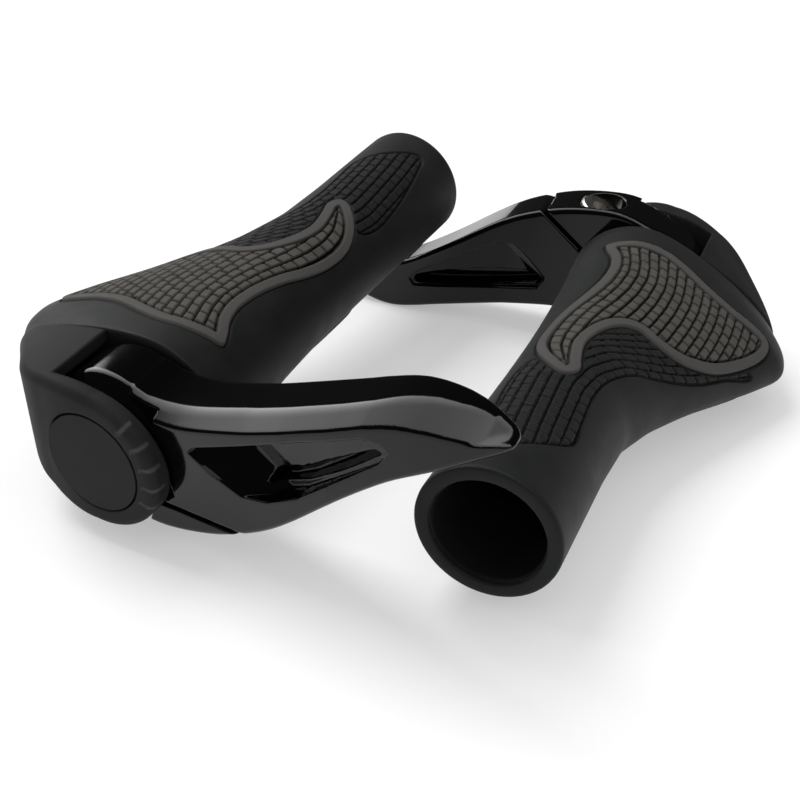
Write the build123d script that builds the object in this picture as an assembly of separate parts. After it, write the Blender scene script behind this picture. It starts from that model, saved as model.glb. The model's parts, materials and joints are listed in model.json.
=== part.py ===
from build123d import *
from math import cos, radians, sin
import os

os.makedirs("parts", exist_ok=True)

# A pair of lock-on grips with bar ends, in millimetres. Each grip is drawn in its own frame:
# x runs along the bar from the open inboard mouth outwards, y towards the horn, z up.

# Rubber sleeve
bar_radius = 11.1
core_radius = 12.3
mouth_lip = 1.5
mouth_lip_radius = 11.5
rim_x = 108.9
rim_radius = 16.8
wing_tip = 40.5
wing_shoulder = 11.9
wing_nose = 7.4
stations = (0.0, 12.0, 30.0, 45.0, 58.0, 68.0, 78.0, 88.0, 98.0, 104.0, 108.9)
radii = (14.5, 14.4, 14.0, 13.8, 13.8, 14.0, 14.4, 15.0, 15.8, 16.4, 16.8)
reaches = (14.5, 14.5, 14.5, 15.3, 19.6, 24.6, 30.0, 36.2, 41.4, 40.6, 37.0)
mouth_chamfer = 0.7
inlay_depth = 1.2
inlay_outline = (
    (38.0, 2.4), (41.0, 6.2), (46.0, 9.5), (53.0, 11.3), (62.0, 11.0), (73.0, 8.9),
    (83.0, 6.9), (91.0, 6.7), (97.5, 9.0), (100.8, 7.2), (102.8, -1.0), (101.4, -10.0),
    (98.3, -18.0), (97.8, -24.5), (100.3, -31.0), (101.2, -35.6), (98.0, -36.8),
    (91.0, -33.8), (83.5, -28.0), (76.5, -21.8), (72.6, -15.5), (70.6, -8.0),
    (65.6, -1.6), (59.0, 1.4), (52.0, 2.3), (46.5, 1.3), (41.5, -0.8),
)

# Core sleeve
core_end = 126.0
bar_stop = 120.0
bar_stop_bore = 10.0
core_slot_start = 108.0
core_slot_end = 119.0
core_slot_width = 2.0

# Bar end horn
horn_in = 109.4
horn_out = 124.2
ring_radius = 15.8
ring_bore = 12.35
horn_top = (
    (5.0, 15.0), (9.5, 14.3), (14.0, 14.4), (19.4, 15.7), (29.0, 19.6), (35.0, 22.4),
    (49.4, 29.8), (55.0, 32.8), (60.0, 35.2), (64.5, 36.5), (69.0, 36.9), (73.5, 36.6),
    (77.0, 35.6),
)
horn_tip = ((77.0, 35.6), (80.6, 33.9), (78.6, 31.4))
horn_belly = (
    (78.6, 31.4), (75.0, 29.4), (69.6, 25.9), (61.0, 20.0), (52.0, 11.5), (43.0, 1.8),
    (37.0, -4.0), (31.0, -8.4), (24.0, -12.4), (15.5, -15.6), (8.5, -16.8), (0.0, -15.8),
)
horn_plan = (
    (109.4, -17.0), (124.2, -17.0), (124.2, 40.0), (123.2, 58.0), (121.4, 70.0),
    (118.0, 79.0), (115.0, 81.2), (112.0, 79.0), (110.0, 70.0), (109.4, 58.0),
)
horn_bevel = 2.8
horn_edge = 1.2
pocket_outline = (
    (18.2, 4.4), (20.2, 8.4), (56.0, 26.0), (59.0, 24.8), (58.2, 21.9), (50.2, 14.2),
    (42.3, 6.3), (34.6, 1.2), (29.7, 0.0),
)
pocket_corner = 0.9
pocket_shallow = 1.6
pocket_deep = 4.8
slit_inner = ((34.0, -12.3), (8.0, 1.1))
slit_outer = ((34.0, -7.9), (5.0, -10.2))
slit_width = 1.3

# Clamp bolt
bolt_seat = (116.2, 17.2, -9.6)
bolt_lean = 11.0
bolt_head_radius = 5.0
bolt_head_height = 4.0
bolt_recess_radius = 5.3
bolt_radius = 3.0
bolt_length = 12.0
bolt_hole_radius = 3.04
bolt_clearance_radius = 3.3
bolt_socket = 4.0
bolt_socket_depth = 2.4

# End cap bracket and plug
cap_start = 109.1
plate_start = 124.6
plate_end = 129.7
plate_radius = 15.3
plate_crown = 17.4
plate_lean = 5.0
bridge_edge = -11.3
bridge_bore = 16.4
cap_plan = (
    (129.7, -13.2), (127.9, -16.8), (124.0, -21.6), (118.0, -27.7), (109.1, -37.6),
)
plug_radius = 10.8
plug_recess_radius = 11.05
plug_recess_start = 127.2
plug_bore_radius = 10.0
spigot_radius = 9.8
spigot_bore = 8.2
spigot_start = 120.4
tick_angles = (55.0, 36.0, 17.0, -2.0, -21.0)
tick_width = 0.6

# Where the two grips lie: mouth centre, heading, tilt, roll and horn turn, in degrees
right_mouth = (5.56, 293.95, 33.2)
right_turns = (240.36, -7.10, -6.59, 0.0)
left_mouth = (17.52, 162.76, 14.8)
left_turns = (65.49, 1.15, 15.5, 1.5)


def along(stack, x):
    """Value of a station list at distance x."""
    for i in range(len(stations) - 1):
        if x <= stations[i + 1]:
            share = (x - stations[i]) / (stations[i + 1] - stations[i])
            return stack[i] + share * (stack[i + 1] - stack[i])
    return stack[-1]


def across_plane(x):
    """Plane square to the bar at x, with y and z as its axes."""
    return Plane(origin=(x, 0, 0), x_dir=(0, 1, 0), z_dir=(1, 0, 0))


def outline_face(x, radius, crown, reach, inset):
    """Round in front, drawn out to the palm wing behind."""
    spread = (reach - radius) / (wing_tip - rim_radius)
    r = radius - inset
    w = reach - inset
    shoulder = 0.5523 * r * (1 - spread) + wing_shoulder * spread
    nose = 0.5523 * r * (1 - spread) + (wing_nose - inset) * spread
    c = crown - inset
    front = ThreePointArc((0, -r), (r, 0), (0, r))
    upper = Bezier((0, r), (-shoulder, c), (-w, nose), (-w, 0))
    lower = Bezier((-w, 0), (-w, -nose), (-shoulder, -c), (0, -r))
    return across_plane(x) * make_face(Curve() + [front, upper, lower])


def rubber_face(x, inset):
    """Outline of the rubber at x."""
    radius = along(radii, x)
    return outline_face(x, radius, radius, along(reaches, x), inset)


def cylinder(radius, start, end):
    """Solid rod round the bar axis from start to end."""
    return extrude(across_plane(start) * Circle(radius), end - start)


def rubber_skin(inset):
    """Whole outside form of the rubber, shrunk by inset."""
    return loft([rubber_face(x, inset) for x in stations])


def inlay_form():
    """Upper inlay, let into the rubber by its depth."""
    plan = make_face(Spline(*inlay_outline, periodic=True))
    block = extrude(plan, 25)
    return (rubber_skin(0) & block) - rubber_skin(inlay_depth)


def core_form():
    """Hard tube inside the rubber, slotted where the clamp grips it."""
    tube = cylinder(core_radius, mouth_lip, core_end) - cylinder(bar_radius, 0, bar_stop)
    tube -= cylinder(bar_stop_bore, bar_stop - 1, core_end + 1)
    length = core_slot_end - core_slot_start
    slot = Pos((core_slot_start + core_slot_end) / 2, 0, 12) * Box(length, core_slot_width, 8)
    for quarter in range(4):
        tube -= Rotation(45 + 90 * quarter, 0, 0) * slot
    return tube


def rubber_form(inlays):
    """Rubber sleeve with its lip, hollow for the core and recessed for the inlays."""
    skin = rubber_skin(0)
    mouth = skin.edges().filter_by_position(Axis.X, -0.1, 0.1)
    skin = chamfer(mouth, mouth_chamfer)
    skin -= cylinder(mouth_lip_radius, -1, mouth_lip)
    skin -= cylinder(core_radius, mouth_lip, rim_x + 1)
    for inlay in inlays:
        skin -= inlay
    return skin


def pocket_cutter(face_x, inward):
    """Pocket with a sloping floor, deepest along its lower edge."""
    plan = across_plane(face_x) * make_face(Polyline(*pocket_outline, close=True))
    cutter = extrude(plan, amount=inward * pocket_deep)
    cutter = fillet(cutter.edges().filter_by(Axis.X), pocket_corner)
    slope = Plane(
        origin=(face_x + inward * pocket_shallow, 38.0, 17.2),
        x_dir=(0, cos(radians(26)), sin(radians(26))),
        z_dir=(inward, 0.28 * sin(radians(26)), -0.28 * cos(radians(26))),
    )
    return cutter - slope * Pos(0, 0, 10) * Box(120, 120, 20)


def slit_cutter():
    """Twisted saw cut that splits the clamp ring."""
    faces = []
    for x, line in ((horn_in - 0.5, slit_inner), (horn_out + 0.5, slit_outer)):
        (y0, z0), (y1, z1) = line
        half = slit_width / 2
        corners = ((y0, z0 - half), (y0, z0 + half), (y1, z1 + half), (y1, z1 - half))
        faces.append(across_plane(x) * make_face(Polyline(*corners, close=True)))
    return loft(faces, ruled=True)


def bolt_axis():
    """Frame on the bolt seat with its z along the bolt into the horn."""
    return Location(bolt_seat) * Rotation(-bolt_lean, 0, 0)


def bolt_form():
    """Socket head clamp bolt."""
    head = Pos(0, 0, -bolt_head_height / 2) * Cylinder(bolt_head_radius, bolt_head_height)
    head = chamfer(head.edges().sort_by(Axis.Z)[0], 0.4)
    socket = RegularPolygon(bolt_socket / 2, 6, major_radius=False)
    head -= Pos(0, 0, -bolt_head_height) * extrude(socket, bolt_socket_depth)
    shank = Pos(0, 0, bolt_length / 2) * Cylinder(bolt_radius, bolt_length)
    shank = chamfer(shank.edges().sort_by(Axis.Z)[-1], 0.5)
    return bolt_axis() * (head + shank)


def bolt_cutter():
    """Recess, clearance hole and tapped hole for the clamp bolt."""
    recess = Pos(0, 0, -10) * Cylinder(bolt_recess_radius, 20)
    clearance = Pos(0, 0, 2.5) * Cylinder(bolt_clearance_radius, 5)
    tapped = Pos(0, 0, bolt_length / 2 + 0.4) * Cylinder(bolt_hole_radius, bolt_length + 0.8)
    return bolt_axis() * (recess + clearance + tapped)


def rim_edges(blade, faces, least_length, least_z):
    """Edges in the blade's flat faces, longer and higher than given, away from the ring."""
    found = []
    for edge in blade.edges():
        mid = edge.position_at(0.5)
        on_face = any(abs(mid.X - x) < 0.05 for x in faces)
        if on_face and edge.length > least_length and mid.Y > 3 and mid.Z > least_z:
            found.append(edge)
    return found


def horn_form():
    """Cast horn with its clamp ring."""
    edges = [
        Spline(*horn_top),
        ThreePointArc(*horn_tip),
        Spline(*horn_belly),
        Line(horn_belly[-1], horn_top[0]),
    ]
    plan = make_face(Polyline(*horn_plan, close=True))
    blade = extrude(across_plane(horn_in) * make_face(Curve() + edges), horn_out - horn_in)
    blade = chamfer(rim_edges(blade, [horn_out], 50, 20), horn_bevel)
    blade = fillet(rim_edges(blade, [horn_in, horn_out], 3, -40), horn_edge)
    blade &= Pos(0, 0, -40) * extrude(plan, 100)
    horn = blade + cylinder(ring_radius, horn_in, horn_out)
    horn -= cylinder(ring_bore, horn_in - 1, horn_out + 1)
    horn -= pocket_cutter(horn_out, -1)
    horn -= pocket_cutter(horn_in, 1)
    horn -= slit_cutter()
    return horn - bolt_cutter()


def face_cutter():
    """Everything outboard of the leaning end face."""
    block = Pos(10, 0, 0) * Box(20, 120, 80)
    return Pos(plate_end, 0, 0) * Rotation(0, -plate_lean, 0) * block


def cap_form():
    """End plate with the wall that bridges the clamp on the palm side."""
    plate = extrude(outline_face(plate_start, plate_radius, plate_crown, reaches[-1], 0), 8)
    bridge = extrude(outline_face(cap_start, rim_radius, rim_radius, reaches[-1], 0), 24)
    bridge &= Pos(120, bridge_edge - 40, 0) * Box(60, 80, 60)
    cap = plate + bridge
    sweep = Curve() + [Spline(*cap_plan), Polyline(cap_plan[-1], (140, -60), (140, -11.6), cap_plan[0])]
    cap -= Pos(0, 0, -40) * extrude(make_face(sweep), 80)
    cap -= cylinder(bridge_bore, cap_start - 1, plate_start)
    cap -= cylinder(core_radius, plate_start - 1, core_end)
    cap -= cylinder(plug_bore_radius, core_end - 1, plate_end + 5)
    cap -= cylinder(plug_recess_radius, plug_recess_start, plate_end + 5)
    cap -= face_cutter()
    for angle in tick_angles:
        tick = Pos(plate_end - 1.0, 13.6, 0) * Box(4, 3, tick_width)
        tick = Rotation(angle, 0, 0) * (tick - Pos(plate_end - 3.2, 13.6, 0) * Box(4, 4, 4))
        cap -= tick
    return cap


def plug_form():
    """Disc that closes the end, with a hollow spigot that pushes into the core sleeve."""
    disc = cylinder(plug_radius, plug_recess_start, plate_end + 5) - face_cutter()
    spigot = cylinder(spigot_radius, spigot_start, plug_recess_start)
    return disc + spigot - cylinder(spigot_bore, spigot_start - 1, plug_recess_start - 1)


def grip_forms(horn_turn):
    """All pieces of a right grip in its own frame."""
    inlay = inlay_form()
    lower = mirror(inlay, Plane.XY)
    turn = Rotation(horn_turn, 0, 0)
    return {
        "grip_rubber": rubber_form([inlay, lower]),
        "upper_inlay": inlay,
        "lower_inlay": lower,
        "core_sleeve": core_form(),
        "bar_end_horn": turn * horn_form(),
        "clamp_bolt": turn * bolt_form(),
        "end_cap": cap_form(),
        "end_plug": plug_form(),
    }


def placed(mouth, turns):
    """Location of a grip whose mouth centre and turns are given."""
    heading, tilt, roll = turns[:3]
    return Location(mouth) * Rotation(0, 0, heading) * Rotation(0, -tilt, 0) * Rotation(roll, 0, 0)


def pair():
    """Both grips where they lie, the left one a mirror image."""
    pieces = {}
    for name, form in grip_forms(right_turns[3]).items():
        pieces["right_" + name] = placed(right_mouth, right_turns) * form
    for name, form in grip_forms(left_turns[3]).items():
        pieces["left_" + name] = placed(left_mouth, left_turns) * mirror(form, Plane.XY)
    return pieces


def to_row_origin(pieces):
    """Move that puts the origin under the middle of the pair, on the table."""
    boxes = [form.bounding_box() for form in pieces.values()]
    low = [min(tuple(box.min)[i] for box in boxes) for i in range(3)]
    high = [max(tuple(box.max)[i] for box in boxes) for i in range(3)]
    print("moved by", -(low[0] + high[0]) / 2, -(low[1] + high[1]) / 2, -low[2])
    return Pos(-(low[0] + high[0]) / 2, -(low[1] + high[1]) / 2, -low[2])


pieces = pair()
shift = to_row_origin(pieces)
for name, form in pieces.items():
    export_step(shift * form, f"parts/{name}.step")
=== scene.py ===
import json
import math

import bpy
import numpy as np
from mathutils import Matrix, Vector


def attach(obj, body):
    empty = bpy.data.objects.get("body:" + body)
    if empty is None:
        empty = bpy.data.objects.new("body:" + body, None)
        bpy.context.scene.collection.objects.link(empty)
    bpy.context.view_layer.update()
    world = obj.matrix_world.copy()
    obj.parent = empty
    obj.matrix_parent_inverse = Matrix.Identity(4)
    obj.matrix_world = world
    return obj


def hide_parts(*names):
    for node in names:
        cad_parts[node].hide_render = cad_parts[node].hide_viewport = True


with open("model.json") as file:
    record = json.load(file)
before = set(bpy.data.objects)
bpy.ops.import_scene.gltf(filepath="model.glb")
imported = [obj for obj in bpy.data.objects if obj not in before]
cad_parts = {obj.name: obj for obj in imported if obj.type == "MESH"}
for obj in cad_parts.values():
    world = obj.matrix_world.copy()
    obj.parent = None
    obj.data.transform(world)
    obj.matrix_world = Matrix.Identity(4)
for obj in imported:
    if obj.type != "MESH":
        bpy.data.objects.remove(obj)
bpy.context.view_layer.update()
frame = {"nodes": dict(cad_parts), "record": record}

# Move that sets the pair on the floor about the middle, and each horn's turn about its bar at rest
SHIFT = np.array((-7.7918, -227.1332, 2.8346))
HORN_TURN = {"right": 0.0, "left": 1.5}
# Where each grip lies, in millimetres and degrees: mouth centre; heading, tilt and roll; hand
GRIPS = {
    "right": ((5.56, 293.95, 33.2), (240.36, -7.10, -6.59), 1.0),
    "left": ((17.52, 162.76, 14.8), (65.49, 1.15, 15.5), -1.0),
}

# Rubber form: stations along the bar, front radius and palm wing reach at each
STATIONS = (0.0, 12.0, 30.0, 45.0, 58.0, 68.0, 78.0, 88.0, 98.0, 104.0, 108.9)
RADII = (14.5, 14.4, 14.0, 13.8, 13.8, 14.0, 14.4, 15.0, 15.8, 16.4, 16.8)
REACHES = (14.5, 14.5, 14.5, 15.3, 19.6, 24.6, 30.0, 36.2, 41.4, 40.6, 37.0)
RIM_X, RIM_RADIUS, WING_TIP = 108.9, 16.8, 40.5
WING_SHOULDER, WING_NOSE = 11.9, 7.4
MOUTH_RADIUS, CORE_RADIUS, MOUTH_LIP, BORE_END = 11.5, 12.3, 1.5, 60.0
HALF_GIRTH = 66.0  # upper half of the rim's outline, which sets the points round the sleeve
ARC = 0.5523  # Bezier handle of a quarter circle of radius 1

# Outlines on the unrolled rubber: distance along the bar, distance round it from the ridge
INLAY = (
    (98.6, 10.4), (99.9, 7.0), (101.2, 2.0), (101.8, -4.0), (100.6, -10.0), (98.6, -17.0),
    (98.0, -24.0), (98.6, -30.0), (98.6, -34.6), (96.4, -36.8), (92.0, -36.6), (85.0, -33.6),
    (77.0, -28.4), (71.4, -22.6), (68.3, -17.5), (67.0, -12.0), (67.0, -7.0), (64.0, -2.9),
    (58.5, 0.0), (52.0, 1.3), (46.0, 0.4), (42.0, -0.6), (39.0, 0.4), (38.2, 2.6),
    (40.0, 5.4), (44.0, 9.0), (49.0, 11.5), (54.0, 12.2), (60.0, 11.7), (66.0, 10.3),
    (73.0, 8.0), (80.0, 6.5), (87.0, 6.2), (92.0, 7.4), (95.8, 9.6),
)
INLAY_FRONT = ((38.0, 4.0), (43.0, 8.2), (49.0, 11.5), (54.0, 12.2), (60.0, 11.7), (66.0, 10.3),
               (73.0, 8.0), (80.0, 6.5), (87.0, 6.2), (92.0, 7.4), (98.6, 10.4))
ZONE = (
    (42.5, 11.2), (35.5, 12.8), (23.5, 11.5), (13.0, 9.1), (7.5, 6.8), (11.5, 0.5), (19.0, -6.7),
    (27.0, -6.3), (36.5, -5.7), (44.5, -6.8), (52.5, -10.5), (58.5, -15.7), (64.5, -21.2),
    (71.0, -26.4), (78.5, -31.1), (86.5, -36.5), (75.0, -15.0), (60.0, 4.0), (46.0, 6.0),
)
ZONE_REAR = ((7.0, -8.2), (19.0, -6.9), (27.0, -6.3), (36.5, -5.7), (44.5, -6.8), (52.5, -10.5),
             (58.5, -15.7), (64.5, -21.2), (71.0, -26.4), (78.5, -31.1), (90.0, -39.0))
# Relief: width of the raised border and spacing of the rows; length, offset from row to row and
# groove depth of the inlay's tiles, and of the black bricks; where the rows straighten and how soon
BORDER, PITCH = 2.6, 2.45
TILE_LENGTH, TILE_BOND, TILE_GROOVE = 3.3, 0.37, 0.8
BRICK_LENGTH, BRICK_BOND, BRICK_GROOVE = 3.2, 0.41, 0.65
GROOVE_WIDTH = 0.62
CALM_LINE, CALM_REACH = 8.3, 26.0
# Seat of the inlay in the rubber, depth of the inlay's hidden skirt, its rise over that and the
# drop from its border to its tiles
SEAT_DEPTH, SKIRT_DEPTH, INLAY_RISE, TILE_DROP = 1.1, -1.4, 1.85, 0.12
# Width and depth of the grooves inside the border, round the bricks and round the inlay
BORDER_GROOVE, BRICK_FRAME, INLAY_FRAME = (0.7, 0.6), (0.75, 0.6), (0.8, 0.35)
# Spacing of the points on the sleeves, and on the horns and brackets
GRID_STEP = 0.25
NET_STEP = 0.36
SETTLE_ROUNDS = 3

# Horn: its ends and its clamp ring along the bar, then its side view: y, z
HORN_START, HORN_END = 109.4, 124.2
RING_RADIUS, RING_BORE, RING_OUT = 15.8, 12.35, 123.6
RING_BEVEL_ACROSS, RING_BEVEL_DOWN = 3.2, 2.6
HORN_BOX = ((109.0, -17.5, -18.0), (124.8, 82.0, 38.5))
HORN_TOP = ((5.0, 15.0), (9.5, 14.3), (14.0, 14.4), (19.4, 15.7), (29.0, 19.6), (35.0, 22.4),
            (49.4, 29.8), (55.0, 32.8), (60.0, 35.2), (64.5, 36.5), (69.0, 36.9), (73.5, 36.6),
            (77.0, 35.6))
HORN_TIP = ((79.4, 34.7), (80.5, 33.6), (80.2, 32.4))
HORN_BELLY = ((78.6, 31.4), (75.0, 29.4), (69.6, 25.9), (61.0, 20.0), (52.0, 11.5), (43.0, 1.8),
              (37.0, -4.0), (31.0, -8.4), (24.0, -12.4), (15.5, -15.6), (8.5, -16.8), (0.0, -15.8))
# Faces and middle line of the horn along y
HORN_OUT = ((-20.0, 124.2), (40.0, 124.2), (50.0, 123.8), (58.0, 123.1), (65.0, 122.2),
            (70.0, 121.2), (75.0, 119.6), (79.0, 117.8), (82.0, 116.0))
HORN_IN = ((-20.0, 109.4), (54.0, 109.4), (62.0, 109.6), (70.0, 110.2), (75.0, 111.0),
           (79.0, 112.0), (82.0, 113.5))
HORN_MID = ((0.0, 0.0), (30.0, 5.0), (50.0, 19.0), (65.0, 29.5), (78.0, 33.0), (82.0, 33.6))
# Wide bevel between the outer face and the top: its width over the top and down the face, along y
BEVEL_ACROSS = ((3.0, 3.0), (12.0, 3.6), (30.0, 4.6), (56.0, 4.6), (66.0, 6.2), (76.0, 6.2),
                (80.5, 3.0))
BEVEL_DOWN = ((3.0, 1.6), (12.0, 1.8), (56.0, 2.2), (66.0, 3.0), (76.0, 3.2), (80.5, 1.8))
# Rounding of the outer and inboard edges, of the cuts' edges and of the fillet round the ring
EDGE_OUT, EDGE_IN, CUT_EDGE, RING_FILLET = 1.3, 1.4, 0.35, 1.2
# Pocket outlines and the trench in each, on the outer and the inboard face
POCKET_FRONT = ((19.8, 8.4), (21.0, 10.0), (30.9, 15.2), (44.0, 22.4), (56.4, 28.6), (59.6, 28.4),
                (60.9, 27.0), (59.8, 24.6), (52.0, 16.8), (44.3, 9.0), (37.5, 4.4), (31.7, 2.9),
                (24.6, 5.3))
SLOT_FRONT = ((35.6, 5.8), (40.0, 7.8), (44.4, 10.8), (52.0, 17.8), (59.2, 25.4), (60.0, 26.6),
              (58.6, 26.8), (50.0, 19.6), (43.4, 13.4), (39.0, 10.8), (36.6, 8.4))
POCKET_BACK = ((22.6, 8.2), (28.6, 4.4), (33.3, 2.4), (37.1, 3.2), (47.6, 12.8), (57.1, 21.6),
               (59.0, 24.8), (57.2, 26.4), (50.0, 23.4), (36.0, 17.0), (24.0, 11.8))
SLOT_BACK = ((24.6, 8.6), (30.5, 9.6), (42.0, 14.4), (52.0, 19.6), (57.4, 23.2), (57.8, 24.8),
             (56.4, 25.2), (47.0, 21.4), (34.0, 15.4), (25.2, 11.0))
# Depth of the pockets where the floor and the facet start
FLOOR_START, FACET_START = 0.4, 0.25
# Pockets by the way they open: outline, trench, line that the floor falls away from, line that the
# steep facet rises from, their slopes, and the depth of the trench
POCKETS = {
    1.0: (POCKET_FRONT, SLOT_FRONT, ((62.9, 22.2), (58.1, 30.8)), ((31.7, 2.6), (19.4, 8.2)),
          0.16, 0.64, 7.0),
    -1.0: (POCKET_BACK, SLOT_BACK, ((62.9, 20.2), (58.1, 28.8)), ((34.0, 1.0), (21.5, 8.6)),
           0.05, 0.5, 5.6),
}
# Twisted saw cut of the clamp, from its open end to the bore, on the inboard and the outer face:
# y, z, y, z; and half its width
SLIT_IN, SLIT_OUT, SLIT_HALF = (34.0, -12.3, 8.0, 1.1), (34.0, -7.9, 5.0, -10.2), 0.6
# Clamp bolt: seat of the head, its direction as y, z, radii of recess and hole, depth of the hole
BOLT_SEAT, BOLT_WAY = (116.2, 17.2, -9.6), (0.1908, 0.9816)
BOLT_RECESS, BOLT_HOLE, BOLT_DEPTH = 5.3, 3.2, 12.0
# Clearance beside the end plate, as seen along the bar: y, z
RELIEF = ((-20.0, 30.0), (9.5, 30.0), (10.9, 18.7), (12.6, 6.0), (14.8, -4.0), (15.2, -5.5),
          (9.5, -12.0), (6.0, -22.0), (-20.0, -22.0))
RELIEF_START = 121.8

# End bracket: places along the bar, front edge of the palm-side wall, radius and handles of the end
# view, lean and rounding of the face, radii behind and in the plate, and the wall's plan: x, y
CAP_START, PLATE_START, PLATE_END, BRIDGE_EDGE, PLUG_SEAT = 109.1, 124.6, 129.7, -11.3, 127.2
CAP_BOX = ((108.8, -42.0, -18.5), (131.5, 16.5, 18.5))
CAP_FRONT, CAP_CROWN, CAP_SHOULDER, CAP_NOSE = 15.3, 17.4, 11.9, 7.8
FACE_LEAN, FACE_ROUND, OUTLINE_ROUND = 5.0, 6.0, 2.0
FLARE, FLARE_START, FLARE_END = 0.3, 109.0, 121.0  # where the outline meets the rubber's rim
BRIDGE_BORE, PLUG_BORE, PLUG_RECESS = 16.4, 10.2, 11.15
CAP_CURVE = ((129.7, -13.2), (127.9, -16.8), (124.0, -21.6), (118.0, -27.7), (109.1, -37.6))
# Tick lines of the scale: angles about the bar, inner end, half width and depth
TICKS = (55.0, 36.0, 17.0, -2.0, -21.0)
TICK_START, TICK_HALF, TICK_DEPTH = 12.4, 0.3, 0.3

# Studio: even light, dark room as mirrored, and the arch of light as mirrored. The arch is the slab
# of directions between its two edges along the axis; then come the glow at the two ends of each
# fade and where it starts and ends, across the slab, in depth (world y) and in height (world z).
WORLD_LIGHT, ROOM_GLOW, ARCH_GLOW = 0.64, 0.035, 5.0
ARCH_AXIS = (0.768, 0.64, 0.0)
ARCH_ACROSS = ((0.0, 1.0, 0.212, 0.182), (0.0, 1.0, -0.48, -0.38), (0.5, 1.0, -0.38, 0.2))
ARCH_DEPTH = ((0.8, 1.0, -0.1, 0.15), (0.0, 1.0, -0.62, -0.55))
ARCH_HEIGHT = ((0.0, 1.0, 0.2, 0.28),)
KEY_PLACE, KEY_TARGET, KEY_SIZE, KEY_POWER = (-0.86, 0.68, 1.9), (0.0, 0.0, 0.02), 1.1, 28.0
CAMERA_PLACE, CAMERA_PITCH = (-0.0078, -0.2271, 0.1446), -0.547
CAMERA_LENS, CAMERA_SHIFT = 50.87, (0.0133, 0.0043)


# ---------------------------------------------------------------- directions and curves

def axes(side):
    """Bar, horn and up directions of a grip in the row frame."""
    h, t, r = (math.radians(a) for a in GRIPS[side][1])
    u = np.array((math.cos(h) * math.cos(t), math.sin(h) * math.cos(t), math.sin(t)))
    y0 = np.array((-math.sin(h), math.cos(h), 0.0))
    z0 = np.cross(u, y0)
    return u, math.cos(r) * y0 + math.sin(r) * z0, math.cos(r) * z0 - math.sin(r) * y0


def to_row(side, points):
    """Grip millimetres to row metres, mirrored for the left hand."""
    mouth, _, hand = GRIPS[side]
    points = np.asarray(points, float) * (1.0, 1.0, hand)
    return (points @ np.array(axes(side)) + np.array(mouth) + SHIFT) / 1000.0


def smooth(edge0, edge1, value):
    """Soft step from 0 to 1 between two edges."""
    t = np.clip((value - edge0) / (edge1 - edge0), 0.0, 1.0)
    return t * t * (3.0 - 2.0 * t)


def at(table, where):
    """Value of a table of pairs, straight between them."""
    return np.interp(where, *zip(*table))


def catmull(a, b, c, d, t):
    """Catmull-Rom piece from b to c."""
    return 0.5 * (2 * b + (c - a) * t + (2 * a - 5 * b + 4 * c - d) * t ** 2
                  + (3 * b - a - 3 * c + d) * t ** 3)


def closed_curve(points, count):
    """Smooth closed curve through the points."""
    p = np.array(points, float)
    t = np.linspace(0.0, 1.0, max(2, count // len(p)), endpoint=False)[:, None]
    ends = zip(np.roll(p, 1, 0), p, np.roll(p, -1, 0), np.roll(p, -2, 0))
    return np.concatenate([catmull(*four, t) for four in ends])


def open_curve(points, count):
    """Smooth curve through the points of an open line."""
    p = np.array(points, float)
    p = np.concatenate([[2 * p[0] - p[1]], p, [2 * p[-1] - p[-2]]])
    t = np.linspace(0.0, 1.0, count, endpoint=False)[:, None]
    pieces = [catmull(*four, t) for four in zip(p[:-3], p[1:-2], p[2:-1], p[3:])]
    return np.concatenate(pieces + [p[-2:-1]])


def inside_distance(x, s, outline):
    """Distance to a closed outline, positive inside."""
    ends = np.roll(outline, -1, axis=0)
    extent = np.broadcast_shapes(np.shape(x), np.shape(s))
    best, inside = np.full(extent, 1e9), np.zeros(extent, bool)
    for (x0, y0), (x1, y1) in zip(outline, ends):
        dx, dy = x1 - x0, y1 - y0
        t = np.clip(((x - x0) * dx + (s - y0) * dy) / (dx * dx + dy * dy), 0.0, 1.0)
        best = np.minimum(best, (x - x0 - t * dx) ** 2 + (s - y0 - t * dy) ** 2)
        if dy:
            inside ^= ((y0 > s) != (y1 > s)) & (x < x0 + (s - y0) * dx / dy)
    return np.where(inside, 1.0, -1.0) * np.sqrt(best)


def smooth_curve(points, x, blur):
    """Height of a polyline at x, softened over about blur millimetres."""
    p = np.array(points)
    fine = np.arange(-30.0, 140.0, 0.25)
    kernel = np.hanning(int(blur * 4) * 2 + 1)
    raw = np.interp(fine, p[:, 0], p[:, 1])
    half = len(kernel) // 2
    soft = np.convolve(np.pad(raw, half, mode="edge"), kernel / kernel.sum(), mode="valid")
    return np.interp(x, fine, soft)


# ---------------------------------------------------------------- mesh pieces

def grid_faces(rows, cols, closed):
    """Quads of a rows by cols grid, optionally closed round the columns."""
    i, j = np.meshgrid(np.arange(rows - 1), np.arange(cols if closed else cols - 1), indexing="ij")
    k = (j + 1) % cols
    quads = np.stack([i * cols + j, i * cols + k, (i + 1) * cols + k, (i + 1) * cols + j], -1)
    return quads.reshape(-1, 4)


def make_mesh(name, points, faces, material, soft=True):
    """Mesh object from arrays of row-frame points and faces of one size."""
    faces = np.asarray(faces, np.int32)
    mesh = bpy.data.meshes.new(name)
    mesh.vertices.add(len(points))
    mesh.vertices.foreach_set("co", np.asarray(points, np.float32).ravel())
    mesh.loops.add(faces.size)
    mesh.loops.foreach_set("vertex_index", faces.ravel())
    mesh.polygons.add(len(faces))
    starts = np.arange(0, faces.size, faces.shape[1], dtype=np.int32)
    mesh.polygons.foreach_set("loop_start", starts)
    mesh.polygons.foreach_set("use_smooth", np.full(len(faces), soft))
    mesh.update(calc_edges=True)
    mesh.validate()
    mesh.materials.append(material)
    obj = bpy.data.objects.new(name, mesh)
    bpy.context.scene.collection.objects.link(obj)
    return obj


def face_out(side, faces):
    """Faces turned so that they look outward on either hand."""
    return faces if GRIPS[side][2] > 0 else faces[:, ::-1]


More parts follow.
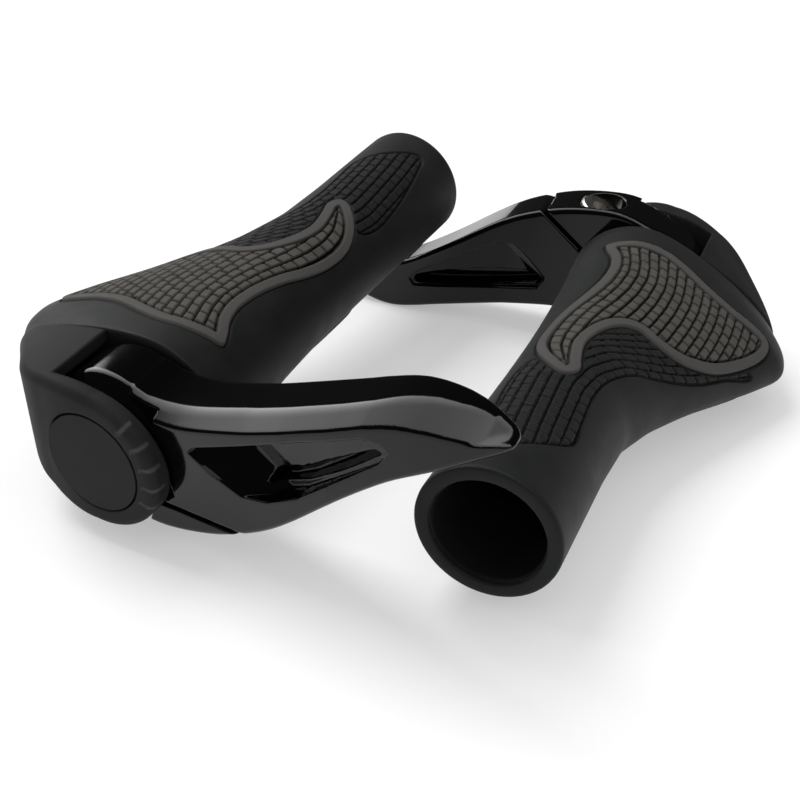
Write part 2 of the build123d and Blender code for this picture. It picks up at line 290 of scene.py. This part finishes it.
def paint(obj, name, values):
    """Point attribute that the materials read."""
    layer = obj.data.attributes.new(name, "FLOAT", "POINT")
    layer.data.foreach_set("value", np.asarray(values, np.float32))


def claim(obj, body, material_slot, *nodes):
    """Parents a piece to its body and hides the CAD nodes it stands for."""
    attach(obj, body)
    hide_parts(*nodes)


# ---------------------------------------------------------------- rubber form and its relief

def section(x, count):
    """Upper half outline at x from the front edge to the wing edge: y, z and the distance round
    the bar from the ridge, positive to the front."""
    r = float(smooth_curve(list(zip(STATIONS, RADII)), x, 4.0))
    w = max(float(smooth_curve(list(zip(STATIONS, REACHES)), x, 4.0)), r)
    k = min(max((w - r) / (WING_TIP - RIM_RADIUS), 0.0), 1.0)
    a = ARC * r * (1 - k) + WING_SHOULDER * k
    b = ARC * r * (1 - k) + WING_NOSE * k
    q = np.linspace(0.0, math.pi / 2, 80)
    t = np.linspace(0.0, 1.0, 120)[1:]
    y = np.concatenate([r * np.cos(q),
                        -(3 * (1 - t) ** 2 * t * a + 3 * (1 - t) * t ** 2 * w + t ** 3 * w)])
    z = np.concatenate([r * np.sin(q),
                        (1 - t) ** 3 * r + 3 * (1 - t) ** 2 * t * r + 3 * (1 - t) * t ** 2 * b])
    length = np.concatenate([[0.0], np.cumsum(np.hypot(np.diff(y), np.diff(z)))])
    want = np.linspace(0.0, length[-1], count)
    return np.interp(want, length, y), np.interp(want, length, z), math.pi / 2 * r - want


def groove(distance, width, depth):
    """Depth of a groove at a distance from its middle."""
    return -depth * (1.0 - smooth(width * 0.25, width * 0.6, distance))


def tile_relief(line, step, brick, width, depth):
    """Long grooves at whole values of line, cross grooves at whole values of step, brick bond."""
    row = np.floor(line)
    long_gap = np.abs(line - np.round(line)) * PITCH
    shifted = step + brick * row
    cross_gap = np.abs(shifted - np.round(shifted)) * PITCH * 1.35
    return np.minimum(groove(long_gap, width, depth), groove(cross_gap, width * 0.9, depth))


def reliefs(x, s):
    """Heights of the rubber and the inlay over the plain form, and the distance into the inlay."""
    inlay = inside_distance(x, s, closed_curve(INLAY, 300))
    zone = inside_distance(x, s, closed_curve(ZONE, 300))
    front = smooth_curve(INLAY_FRONT, x, 2.0)
    calm = np.exp(-np.maximum(front - s, 0.0) / CALM_REACH)
    line = (CALM_LINE + (front - CALM_LINE) * calm - s - BORDER) / PITCH
    tiles = tile_relief(line, x / TILE_LENGTH, TILE_BOND, GROOVE_WIDTH, TILE_GROOVE)
    field = smooth(BORDER - 0.05, BORDER + 0.2, inlay)
    upper = SKIRT_DEPTH + INLAY_RISE * smooth(-0.4, 0.3, inlay) - TILE_DROP * field + tiles * field
    upper = upper + groove(np.abs(inlay - BORDER - 0.1), *BORDER_GROOVE) * (inlay > 0.6)
    rear = smooth_curve(ZONE_REAR, x, 3.0)
    bricks = tile_relief((s - rear) / PITCH, x / BRICK_LENGTH, BRICK_BOND, GROOVE_WIDTH,
                         BRICK_GROOVE)
    outside = inlay < -0.7
    rubber = np.where((zone > 0) & outside, bricks, 0.0)
    rubber = np.minimum(rubber, groove(np.abs(zone), *BRICK_FRAME) * outside)
    rubber = np.minimum(rubber, groove(np.abs(inlay + 0.15), *INLAY_FRAME))
    return rubber - SEAT_DEPTH * smooth(0.25, 0.9, inlay), upper, inlay


def grip_form():
    """Grid of the plain rubber form: x, s, points and outward normals, closed round the columns."""
    rows = int(RIM_X / GRID_STEP) + 1
    half = int(HALF_GIRTH / GRID_STEP)
    xs = np.linspace(0.0, RIM_X, rows)
    y, z, s = (np.empty((rows, half)) for _ in range(3))
    for i, x in enumerate(xs):
        y[i], z[i], s[i] = section(x, half)
    back = slice(half - 2, 0, -1)
    y = np.concatenate([y, y[:, back]], 1)
    z = np.concatenate([z, -z[:, back]], 1)
    s = np.concatenate([s, s[:, back]], 1)
    x = np.repeat(xs[:, None], y.shape[1], 1)
    points = np.stack([x, y, z], -1)
    along = np.gradient(points, axis=0)
    around = np.roll(points, -1, 1) - np.roll(points, 1, 1)
    normal = np.cross(around, along)
    normal /= np.linalg.norm(normal, axis=-1, keepdims=True)
    flip = np.sign((normal * points * (0, 1, 1)).sum())
    return x, s, points, normal * flip


def rubber_rings(points, cut):
    """Adds the rounded mouth, the rim and the bore to the outer surface of the sleeve, and pads the
    groove depth that the rubber material paints as shade.
    """
    angle = np.arctan2(points[0, :, 2], points[0, :, 1])
    rim_angle = np.arctan2(points[-1, :, 2], points[-1, :, 1])

    def circle(x, radius, about):
        along = np.full(about.shape, x)
        return np.stack([along, radius * np.cos(about), radius * np.sin(about)], -1)

    first, last = points[0].copy(), points[-1].copy()
    mouth = [circle(BORE_END, CORE_RADIUS, angle), circle(MOUTH_LIP, CORE_RADIUS, angle),
             circle(MOUTH_LIP, MOUTH_RADIUS, angle), circle(0.5, MOUTH_RADIUS, angle),
             circle(0.15, MOUTH_RADIUS + 0.12, angle), circle(0.0, MOUTH_RADIUS + 0.45, angle)]
    shape = first * (0, 1, 1)
    for inset, x in ((0.8, 0.0), (0.4, 0.1), (0.12, 0.35)):
        mouth.append(shape * (1 - inset / 14.5) + (x, 0, 0))
    keep = int(0.8 / (RIM_X / (len(points) - 1))) + 1
    rim = []
    for inset, x in ((0.1, RIM_X - 0.25), (0.35, RIM_X), (1.2, RIM_X)):
        shrink = (1 - inset / np.hypot(last[:, 1], last[:, 2]))[:, None]
        rim.append((last * (0, 1, 1)) * shrink + (x, 0, 0))
    rim.append(circle(RIM_X, CORE_RADIUS, rim_angle))
    rim.append(circle(BORE_END, CORE_RADIUS, rim_angle))
    body = points[keep:-2]
    grid = np.concatenate([np.stack(mouth), body, np.stack(rim)])
    groove_shades = np.concatenate([np.zeros((len(mouth), points.shape[1])), cut[keep:-2],
                           np.zeros((len(rim), points.shape[1]))])
    return grid, groove_shades


def build_sleeves(rubber_material, inlay_material):
    """Rubber sleeve and the two grey inlays of each grip."""
    x, s, form, normal = grip_form()
    rubber_height, inlay_height, inlay = reliefs(x, s)
    # cut: how deep each point lies in a groove, which the rubber material paints as shade, near
    # black
    rubber, cut = rubber_rings(form + normal * rubber_height[..., None],
                               np.clip(-rubber_height / 0.6, 0, 1))
    sleeve_faces = grid_faces(rubber.shape[0], rubber.shape[1], True)
    raised = form + normal * inlay_height[..., None]
    cols = form.shape[1]
    quads = grid_faces(form.shape[0], cols, True)
    shown = (inlay.ravel()[quads] > -0.4).all(1)
    upper = (quads % cols).max(1) <= cols // 2
    # depth: how deep each point of the inlay lies in a groove, which the inlay material paints as
    # shade
    depth = np.clip(-(inlay_height - 0.33) / 0.75, 0, 1)
    depth = np.where(inlay > 0.4, depth, 0.0)
    band = 1.0 - smooth(BORDER - 0.2, BORDER + 0.3, inlay)
    for side in GRIPS:
        body = side + "_grip"
        obj = make_mesh(side + "_rubber_sleeve", to_row(side, rubber.reshape(-1, 3)),
                        face_out(side, sleeve_faces), rubber_material)
        paint(obj, "cut", cut.ravel())
        claim(obj, body, "black_rubber", side + "_grip_rubber")
        for half, mask in (("upper", shown & upper), ("lower", shown & ~upper)):
            used = quads[mask]
            index = np.unique(used)
            remap = np.zeros(cols * form.shape[0], np.int32)
            remap[index] = np.arange(len(index))
            obj = make_mesh(f"{side}_{half}_grey_inlay", to_row(side, raised.reshape(-1, 3)[index]),
                            face_out(side, remap[used]), inlay_material)
            paint(obj, "cut", depth.ravel()[index])
            paint(obj, "band", band.ravel()[index])
            claim(obj, body, "grey_inlay_rubber", f"{side}_{half}_inlay")


# ---------------------------------------------------------------- cast and moulded forms

def smax(a, b, soft):
    """Larger of two distances with the edge between them softened."""
    gap = np.maximum(soft - np.abs(a - b), 0.0) / soft
    return np.maximum(a, b) + gap * gap * soft * 0.25


def rounded(a, b, radius):
    """Space inside both distances, its edge rounded to the radius."""
    p, q = np.maximum(a + radius, 0.0), np.maximum(b + radius, 0.0)
    return np.minimum(np.maximum(a, b) + radius, 0.0) + np.sqrt(p * p + q * q) - radius


def line_side(y, z, start, end):
    """Distance from the line through two points, positive on its left."""
    dy, dz = end[0] - start[0], end[1] - start[1]
    return ((z - start[1]) * dy - (y - start[0]) * dz) / math.hypot(dy, dz)


def horn_silhouette():
    """Closed side view of the horn."""
    top = open_curve(HORN_TOP, 5)
    tip = open_curve((HORN_TOP[-1],) + HORN_TIP + (HORN_BELLY[0],), 5)
    belly = open_curve(HORN_BELLY, 5)
    return np.concatenate([top[:-1], tip[:-1], belly])


def horn_shape(x, y, z):
    """Distance to the horn with its clamp ring, slit, pockets and bolt recess."""
    blade = -inside_distance(y, z, HORN_LOOP)
    out_face, in_face = at(HORN_OUT, y), at(HORN_IN, y)
    outer, inner = x - out_face, in_face - x
    form = rounded(blade, outer, EDGE_OUT)
    topness = smooth(-2.5, 1.5, z - at(HORN_MID, y))
    across, down = at(BEVEL_ACROSS, y), at(BEVEL_DOWN, y)
    bevel = (blade * across + outer * down + across * down * topness) / np.hypot(across, down)
    form = smax(form, bevel - (1 - topness) * 4.0, 0.6)
    form = rounded(form, inner, EDGE_IN)
    form = smax(form, -np.maximum(-inside_distance(y, z, RELIEF), RELIEF_START - x), 0.3)
    radial = np.hypot(y, z)
    ring = rounded(rounded(radial - RING_RADIUS, x - RING_OUT, 0.5), HORN_START - x, 1.2)
    across, down = RING_BEVEL_ACROSS, RING_BEVEL_DOWN
    bevel = (radial - RING_RADIUS) * across + (x - RING_OUT) * down + across * down
    ring = smax(ring, bevel / math.hypot(across, down), 0.4)
    form = -smax(-form, -ring, RING_FILLET)
    form = smax(form, RING_BORE - radial, 0.5)
    form = smax(form, -pocket(y, z, x, out_face, 1.0), CUT_EDGE)
    form = smax(form, -pocket(y, z, x, in_face, -1.0), CUT_EDGE)
    form = smax(form, -slit(x, y, z), CUT_EDGE)
    aside, beyond, above = x - BOLT_SEAT[0], y - BOLT_SEAT[1], z - BOLT_SEAT[2]
    along_bolt = beyond * BOLT_WAY[0] + above * BOLT_WAY[1]
    about = np.hypot(aside, beyond * BOLT_WAY[1] - above * BOLT_WAY[0])
    form = smax(form, -np.maximum(about - BOLT_RECESS, along_bolt), 0.5)
    return np.maximum(form, -np.maximum(about - BOLT_HOLE, along_bolt - BOLT_DEPTH))


def pocket(y, z, x, face, way):
    """Cut of one pocket: a sloping floor, a steep facet and a trench along one edge."""
    plan, slot, hinge, side, fall, rise, trough = POCKETS[way]
    inward = way * (face - x)
    floor = FLOOR_START + fall * np.abs(line_side(y, z, *hinge))
    facet = FACET_START + rise * np.maximum(-line_side(y, z, *side), 0.0)
    hollow = smax(-inside_distance(y, z, plan), inward - np.minimum(floor, facet), 0.3)
    trench = smax(-inside_distance(y, z, slot), inward - trough, 0.3)
    return np.minimum(hollow, trench)


def slit(x, y, z):
    """Twisted saw cut through the clamp."""
    t = np.clip((x - HORN_START + 0.5) / (HORN_END - HORN_START + 1.0), 0.0, 1.0)
    far_y, far_z, near_y, near_z = (a + t * (b - a) for a, b in zip(SLIT_IN, SLIT_OUT))
    slope = (far_z - near_z) / (far_y - near_y)
    across = np.abs(z - near_z - (y - near_y) * slope) / np.sqrt(1 + slope * slope)
    return np.maximum(across - SLIT_HALF, near_y - y)


def cap_outline():
    """End view of the bracket: round in front, drawn out to the palm wing."""
    q = np.linspace(-math.pi / 2, math.pi / 2, 40)
    t = np.linspace(0.0, 1.0, 30)[1:-1]
    reach = REACHES[-1]
    first, second, third = (1 - t) ** 3, 3 * (1 - t) ** 2 * t, 3 * (1 - t) * t ** 2
    y = -(second * CAP_SHOULDER + third * reach + t ** 3 * reach)
    z = first * CAP_FRONT + second * CAP_CROWN + third * CAP_NOSE
    front = CAP_FRONT * np.stack([np.cos(q), np.sin(q)], -1)
    upper = np.stack([y, z], -1)
    lower = (upper * (1, -1))[::-1]
    return np.concatenate([front, upper, [(-reach, 0.0)], lower])


def cap_plan():
    """Plan of the bracket, open far outboard where the face cuts it."""
    curve = open_curve(CAP_CURVE, 6)
    start, end = [(145.0, 30.0), (145.0, 12.0)], [(100.0, -56.0), (90.0, -56.0), (90.0, 30.0)]
    return np.concatenate([start, curve, end])


def tick_distances(angle, y, z):
    """Distances outward along a tick and sideways from it."""
    c, s = math.cos(math.radians(angle)), math.sin(math.radians(angle))
    return y * c + z * s, np.abs(z * c - y * s)


def cap_shape(x, y, z):
    """Distance to the end bracket: plate, palm-side wall, disc recess and tick marks."""
    lean = math.radians(FACE_LEAN)
    face = (x - PLATE_END) * math.cos(lean) + z * math.sin(lean)
    palm = inside_distance(x, y, CAP_PLAN)
    skin = smax(face, -palm, FACE_ROUND)
    flare = FLARE * (1.0 - smooth(FLARE_START, FLARE_END, x))
    outline = -inside_distance(y, z, CAP_LOOP) - flare
    form = rounded(skin, outline, OUTLINE_ROUND)
    back = np.maximum(CAP_START - x, np.minimum(PLATE_START - x, y - BRIDGE_EDGE))
    form = smax(form, back, 0.5)
    radial = np.hypot(y, z)
    form = smax(form, -np.maximum(radial - BRIDGE_BORE, x - PLATE_START), 0.3)
    form = np.maximum(form, PLUG_BORE - radial)
    form = smax(form, -np.maximum(radial - PLUG_RECESS, PLUG_SEAT - x), CUT_EDGE)
    for angle in TICKS:
        out, beside = tick_distances(angle, y, z)
        mark = np.maximum(np.maximum(beside - TICK_HALF, TICK_START - out), -TICK_DEPTH - face)
        form = smax(form, -mark, 0.25)
    return form


def tick_highlights(points):
    """How far each point of the bracket lies on a tick line of the scale, which gets a painted
    highlight.
    """
    x, y, z = points.T
    shown = np.zeros(len(points))
    for angle in TICKS:
        out, beside = tick_distances(angle, y, z)
        on_rim = (out > TICK_START - 0.2) & (x > PLATE_START + 2.0)
        shown = np.maximum(shown, (1.0 - smooth(0.2, 0.6, beside)) * on_rim)
    return shown


def surface_net(shape, low, high, step):
    """Quad mesh of the zero level of a distance function over a box, settled onto it."""
    axis = [np.arange(a - step, b + step * 2, step) for a, b in zip(low, high)]
    field = shape(axis[0][:, None, None], axis[1][None, :, None], axis[2][None, None, :])
    inside = field < 0
    size = np.array(field.shape) - 1
    corners = [(i, j, k) for i in (0, 1) for j in (0, 1) for k in (0, 1)]
    cut = [inside[i:size[0] + i, j:size[1] + j, k:size[2] + k] for i, j, k in corners]
    mixed = np.any(cut, axis=0) & ~np.all(cut, axis=0)
    cells = np.argwhere(mixed)
    number = np.full(mixed.shape, -1, np.int64)
    number[mixed] = np.arange(len(cells))
    total, count = np.zeros((len(cells), 3)), np.zeros(len(cells))
    for a in corners:
        for d in range(3):
            if a[d]:
                continue
            b = tuple(a[i] + (i == d) for i in range(3))
            va, vb = field[tuple((cells + a).T)], field[tuple((cells + b).T)]
            cross = (va < 0) != (vb < 0)
            share = np.where(cross, va / np.where(cross, va - vb, 1.0), 0.0)
            spot = cells + np.array(a) + share[:, None] * np.eye(3)[d]
            total[cross] += spot[cross]
            count[cross] += 1
    points = total / count[:, None] * step + [a[0] for a in axis]
    faces = []
    for d in range(3):
        e, f = (d + 1) % 3, (d + 2) % 3
        first = [slice(1, n) for n in size]
        first[d] = slice(0, size[d])
        after = list(first)
        after[d] = slice(1, size[d] + 1)
        low_in, high_in = inside[tuple(first)], inside[tuple(after)]
        where = np.argwhere(low_in != high_in) + [s.start for s in first]
        outward = low_in[low_in != high_in]
        ring = []
        for de, df in ((0, 0), (-1, 0), (-1, -1), (0, -1)):
            cell = where.copy()
            cell[:, e] += de
            cell[:, f] += df
            ring.append(number[tuple(cell.T)])
        quads = np.stack(ring, 1)
        faces.append(np.where(outward[:, None], quads, quads[:, ::-1]))
    faces = np.concatenate(faces)
    for _ in range(SETTLE_ROUNDS):
        here = shape(*points.T)
        h = step * 0.15
        slope = np.stack([shape(*(points + h * np.eye(3)[d]).T) - here for d in range(3)], 1) / h
        move = -here[:, None] * slope / np.maximum((slope ** 2).sum(1, keepdims=True), 0.2)
        length = np.linalg.norm(move, axis=1, keepdims=True)
        points = points + move * np.minimum(1.0, step * 0.5 / np.maximum(length, 1e-9))
    return points, faces


def turn_x(points, degrees):
    """Points turned about the bar."""
    c, s = math.cos(math.radians(degrees)), math.sin(math.radians(degrees))
    return points @ np.array(((1, 0, 0), (0, c, s), (0, -s, c)))


def build_castings(horn_look, cap_look):
    """Horn and end bracket of each grip."""
    horn, horn_faces = surface_net(horn_shape, *HORN_BOX, NET_STEP)
    cap, cap_faces = surface_net(cap_shape, *CAP_BOX, NET_STEP)
    for side in GRIPS:
        turned = turn_x(horn, HORN_TURN[side])
        obj = make_mesh(side + "_cast_horn", to_row(side, turned),
                        face_out(side, horn_faces), horn_look)
        claim(obj, side + "_horn", "gloss_black_horn", side + "_bar_end_horn")
        obj = make_mesh(side + "_end_bracket", to_row(side, cap),
                        face_out(side, cap_faces), cap_look)
        # Painted highlight: pale lines along the tick grooves of the scale
        paint(obj, "mark", tick_highlights(cap))
        claim(obj, side + "_grip", "end_cap_plastic", side + "_end_cap")


# ---------------------------------------------------------------- materials

def new_material(name, colour, roughness, **more):
    """Principled material with further inputs by name, underscores for blanks; returns it with its
    nodes, links, shader and position output."""
    material = bpy.data.materials.new(name)
    material.use_nodes = True
    nodes, links = material.node_tree.nodes, material.node_tree.links
    shader = nodes["Principled BSDF"]
    shader.inputs["Base Color"].default_value = (*colour, 1.0)
    shader.inputs["Roughness"].default_value = roughness
    for key, value in more.items():
        shader.inputs[key.replace("_", " ")].default_value = value
    where = nodes.new("ShaderNodeTexCoord").outputs["Object"]
    return material, nodes, links, shader, where


def noise(nodes, links, where, scale, detail=4.0, rough=0.5):
    """Cloudy noise between 0 and 1."""
    node = nodes.new("ShaderNodeTexNoise")
    node.inputs["Scale"].default_value = scale
    node.inputs["Detail"].default_value = detail
    node.inputs["Roughness"].default_value = rough
    links.new(where, node.inputs["Vector"])
    return node.outputs["Fac"]


def ranged(nodes, links, value, low, high, from_low=0.3, from_high=0.7):
    """Value stretched from one range to another and held at its ends."""
    node = nodes.new("ShaderNodeMapRange")
    for key, number in (("From Min", from_low), ("From Max", from_high),
                        ("To Min", low), ("To Max", high)):
        node.inputs[key].default_value = number
    links.new(value, node.inputs["Value"])
    return node.outputs["Result"]


def mixed(nodes, links, factor, first, second):
    """Blend of two colours, each a tuple or a socket."""
    node = nodes.new("ShaderNodeMix")
    node.data_type = "RGBA"
    colours = [socket for socket in node.inputs if socket.type == "RGBA"]
    for socket, colour in zip(colours, (first, second)):
        if isinstance(colour, tuple):
            socket.default_value = (*colour, 1.0)
        else:
            links.new(colour, socket)
    links.new(factor, node.inputs[0])
    return next(socket for socket in node.outputs if socket.type == "RGBA")


def bumped(nodes, links, shader, height, strength, distance, normal=None):
    """Bump on the shader, over another normal if there is one."""
    node = nodes.new("ShaderNodeBump")
    node.inputs["Strength"].default_value = strength
    node.inputs["Distance"].default_value = distance
    links.new(height, node.inputs["Height"])
    if normal is not None:
        links.new(normal, node.inputs["Normal"])
    links.new(node.outputs["Normal"], shader.inputs["Normal"])
    return node.outputs["Normal"]


def attribute(nodes, name):
    """Painted point attribute."""
    node = nodes.new("ShaderNodeAttribute")
    node.attribute_name = name
    return node.outputs["Fac"]


def rubber_material():
    """Matt black rubber, with painted shade that makes it nearly black in its grooves."""
    material, nodes, links, shader, where = new_material(
        "moulded black rubber", (0.01,) * 3, 0.55,
        Specular_IOR_Level=0.14, Sheen_Weight=0.04, Sheen_Roughness=0.5)
    cloud = noise(nodes, links, where, 160.0, 5.0, 0.6)
    colour = mixed(nodes, links, ranged(nodes, links, cloud, 0.0, 1.0),
                   (0.0085, 0.0087, 0.0089), (0.012, 0.0124, 0.0126))
    # Painted shade: the rubber darkens to near black where it lies deep in a groove
    colour = mixed(nodes, links, attribute(nodes, "cut"), colour, (0.001, 0.001, 0.001))
    links.new(colour, shader.inputs["Base Color"])
    links.new(ranged(nodes, links, cloud, 0.48, 0.62), shader.inputs["Roughness"])
    coarse = bumped(nodes, links, shader, cloud, 0.25, 0.0002)
    bumped(nodes, links, shader, noise(nodes, links, where, 3200.0, 3.0), 0.35, 0.00006, coarse)
    return material


def inlay_material():
    """Warm grey rubber with a plain border, and painted shade that darkens its grooves to near
    black.
    """
    material, nodes, links, shader, where = new_material(
        "grey inlay rubber", (0.1,) * 3, 0.6, Specular_IOR_Level=0.1)
    cloud = noise(nodes, links, where, 220.0, 5.0, 0.6)
    colour = mixed(nodes, links, ranged(nodes, links, cloud, 0.0, 1.0),
                   (0.066, 0.062, 0.056), (0.087, 0.082, 0.074))
    colour = mixed(nodes, links, attribute(nodes, "band"), colour, (0.072, 0.07, 0.067))
    # Painted shade: the inlay darkens to near black where it lies deep in a groove
    colour = mixed(nodes, links, attribute(nodes, "cut"), colour, (0.004, 0.004, 0.004))
    links.new(colour, shader.inputs["Base Color"])
    links.new(ranged(nodes, links, cloud, 0.52, 0.68), shader.inputs["Roughness"])
    bumped(nodes, links, shader, noise(nodes, links, where, 2600.0, 3.0), 0.3, 0.00006)
    return material


def gloss_material():
    """Deep black lacquer over a casting."""
    material, nodes, links, shader, where = new_material(
        "gloss black lacquer", (0.0015,) * 3, 0.09, Specular_IOR_Level=0.3)
    haze = noise(nodes, links, where, 90.0, 3.0)
    links.new(ranged(nodes, links, haze, 0.05, 0.1), shader.inputs["Roughness"])
    bumped(nodes, links, shader, noise(nodes, links, where, 420.0, 2.0), 0.06, 0.0001)
    return material


def satin_material(name, level, roughness, grain, grain_strength, with_tick_highlight=False):
    """Moulded plastic with a fine grain, and a painted highlight that makes the tick lines pale
    when asked for.
    """
    material, nodes, links, shader, where = new_material(
        name, (level,) * 3, roughness, Specular_IOR_Level=0.05)
    cloud = noise(nodes, links, where, 120.0, 4.0)
    colour = mixed(nodes, links, ranged(nodes, links, cloud, 0.0, 1.0),
                   (level * 0.85,) * 3, (level * 1.2, level * 1.2, level * 1.25))
    if with_tick_highlight:
        # Painted highlight: the tick lines turn paler than the plastic, standing in for light
        # caught by their edges
        colour = mixed(nodes, links, attribute(nodes, "mark"), colour, (0.055, 0.055, 0.056))
    links.new(colour, shader.inputs["Base Color"])
    rough = ranged(nodes, links, cloud, roughness - 0.05, roughness + 0.07)
    links.new(rough, shader.inputs["Roughness"])
    bumped(nodes, links, shader, noise(nodes, links, where, grain, 2.0), grain_strength, 0.00005)
    return material


def zinc_material():
    """Bright plated steel."""
    material, nodes, links, shader, where = new_material(
        "zinc plated steel", (0.62, 0.6, 0.56), 0.3, Metallic=1.0)
    cloud = noise(nodes, links, where, 500.0, 5.0)
    links.new(ranged(nodes, links, cloud, 0.22, 0.42), shader.inputs["Roughness"])
    bumped(nodes, links, shader, noise(nodes, links, where, 1800.0, 3.0), 0.2, 0.00004)
    return material


def floor_material():
    """White paper lit from below as well, as on a light table, so that shadows stay pale."""
    material, nodes, links, shader, where = new_material(
        "white light table", (0.78,) * 3, 0.9,
        Specular_IOR_Level=0.05, Emission_Color=(1.0, 1.0, 1.0, 1.0))
    cloud = noise(nodes, links, where, 4.0, 3.0)
    colour = mixed(nodes, links, ranged(nodes, links, cloud, 0.0, 1.0),
                   (0.63,) * 3, (0.65, 0.65, 0.652))
    links.new(colour, shader.inputs["Base Color"])
    links.new(ranged(nodes, links, cloud, 0.37, 0.39), shader.inputs["Emission Strength"])
    return material


# ---------------------------------------------------------------- scene

def dress_nodes(looks):
    """Gives every shown CAD node its material."""
    for part in frame["record"]["subparts"]:
        look = looks[part["material_slot"]]
        materials = frame["nodes"][part["node"]].data.materials
        if not len(materials):
            materials.append(look)
        for index in range(len(materials)):
            materials[index] = look


def soft_box(name, place, target, size, power):
    """Square soft light that the glossy pieces don't mirror."""
    light = bpy.data.lights.new(name, "AREA")
    light.shape = "RECTANGLE"
    light.size, light.size_y = size, size
    light.energy = power
    obj = bpy.data.objects.new(name, light)
    obj.location = place
    aim = Vector(target) - Vector(place)
    obj.rotation_euler = aim.to_track_quat("-Z", "Y").to_euler()
    obj.visible_glossy = False
    bpy.context.scene.collection.objects.link(obj)


def build_floor(material):
    """Wide pale table top."""
    xs, ys = np.linspace(-2.5, 2.5, 11), np.linspace(-2.0, 3.0, 11)
    points = [(x, y, 0.0) for y in ys for x in xs]
    floor = make_mesh("pale_table", np.array(points), grid_faces(11, 11, False), material)


def build_camera():
    """Camera at the viewing angle of the picture."""
    data = bpy.data.cameras.new("camera")
    data.sensor_width = 36.0
    data.lens = CAMERA_LENS
    data.shift_x, data.shift_y = CAMERA_SHIFT
    data.clip_start, data.clip_end = 0.01, 50.0
    camera = bpy.data.objects.new("camera", data)
    camera.location = CAMERA_PLACE
    camera.rotation_euler = (math.pi / 2 + CAMERA_PITCH, 0.0, 0.0)
    bpy.context.scene.collection.objects.link(camera)
    bpy.context.scene.camera = camera


def maths(nodes, links, operation, first, second):
    """Math node on two sockets or numbers."""
    node = nodes.new("ShaderNodeMath")
    node.operation = operation
    for socket, value in zip(node.inputs, (first, second)):
        if isinstance(value, float):
            socket.default_value = value
        else:
            links.new(value, socket)
    return node.outputs["Value"]


def build_world():
    """Even white light for matt surfaces; glossy ones mirror a dark room with one arch of light
    that rises behind the left of the table and passes over it."""
    world = bpy.data.worlds.new("studio")
    bpy.context.scene.world = world
    world.use_nodes = True
    nodes, links = world.node_tree.nodes, world.node_tree.links
    background = nodes["Background"]
    background.inputs["Color"].default_value = (1.0, 1.0, 1.0, 1.0)
    way = nodes.new("ShaderNodeTexCoord").outputs["Generated"]
    split = nodes.new("ShaderNodeSeparateXYZ")
    links.new(way, split.inputs["Vector"])
    dot = nodes.new("ShaderNodeVectorMath")
    dot.operation = "DOT_PRODUCT"
    dot.inputs[1].default_value = ARCH_AXIS
    links.new(way, dot.inputs[0])
    glow = 1.0
    for value, fades in ((dot.outputs["Value"], ARCH_ACROSS), (split.outputs["Y"], ARCH_DEPTH),
                         (split.outputs["Z"], ARCH_HEIGHT)):
        for fade in fades:
            glow = maths(nodes, links, "MULTIPLY", glow, ranged(nodes, links, value, *fade))
    mirrored = maths(nodes, links, "MULTIPLY_ADD", glow, ARCH_GLOW)
    mirrored.node.inputs[2].default_value = ROOM_GLOW
    path = nodes.new("ShaderNodeLightPath")
    level = nodes.new("ShaderNodeMix")
    links.new(path.outputs["Is Glossy Ray"], level.inputs[0])
    level.inputs[2].default_value = WORLD_LIGHT
    links.new(mirrored, level.inputs[3])
    links.new(level.outputs[0], background.inputs["Strength"])


HORN_LOOP, CAP_LOOP, CAP_PLAN = horn_silhouette(), cap_outline(), cap_plan()

looks = {
    "black_rubber": rubber_material(),
    "grey_inlay_rubber": inlay_material(),
    "gloss_black_horn": gloss_material(),
    "end_cap_plastic": satin_material("satin cap plastic", 0.019, 0.52, 3500.0, 0.12, with_tick_highlight=True),
    "end_plug_plastic": satin_material("grained plug plastic", 0.018, 0.46, 5200.0, 0.3),
    "core_plastic": satin_material("core nylon", 0.012, 0.5, 2500.0, 0.2),
    "zinc_bolt": zinc_material(),
}
build_sleeves(looks["black_rubber"], looks["grey_inlay_rubber"])
build_castings(looks["gloss_black_horn"], looks["end_cap_plastic"])
dress_nodes(looks)
build_floor(floor_material())
build_world()
build_camera()
soft_box("key", KEY_PLACE, KEY_TARGET, KEY_SIZE, KEY_POWER)

scene = bpy.context.scene
scene.view_settings.view_transform = "Standard"
scene.view_settings.look = "None"
